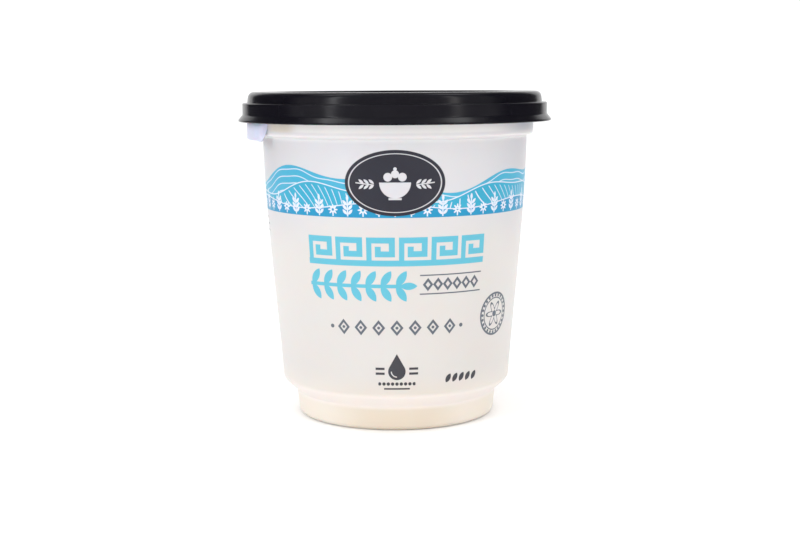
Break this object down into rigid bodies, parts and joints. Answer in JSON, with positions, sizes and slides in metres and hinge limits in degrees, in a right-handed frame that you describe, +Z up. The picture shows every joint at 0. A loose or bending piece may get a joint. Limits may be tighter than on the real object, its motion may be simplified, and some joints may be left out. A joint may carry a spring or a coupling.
{
  "type": "yogurt tub",
  "caption": "Shut yogurt tub: tapered milky plastic tub with a stepped foot, collar and finger tab, under a round black press-on lid with a sunk middle.",
  "frame": {"origin": "centre of the base, on the surface that the tub stands on", "axes": "+Z up through the lid; -Y towards the front of the print; the finger tab is on the -X side"},
  "size_m": [0.098, 0.098, 0.1016],
  "materials": {
    "milky_plastic": "translucent milky white polypropylene with a satin face, printed in cyan, charcoal and grey-blue",
    "black_plastic": "satin black moulded polypropylene"
  },
  "bodies": {
    "root": {"tub": "milky_plastic", "lid": "black_plastic"}
  },
  "joints": []
}
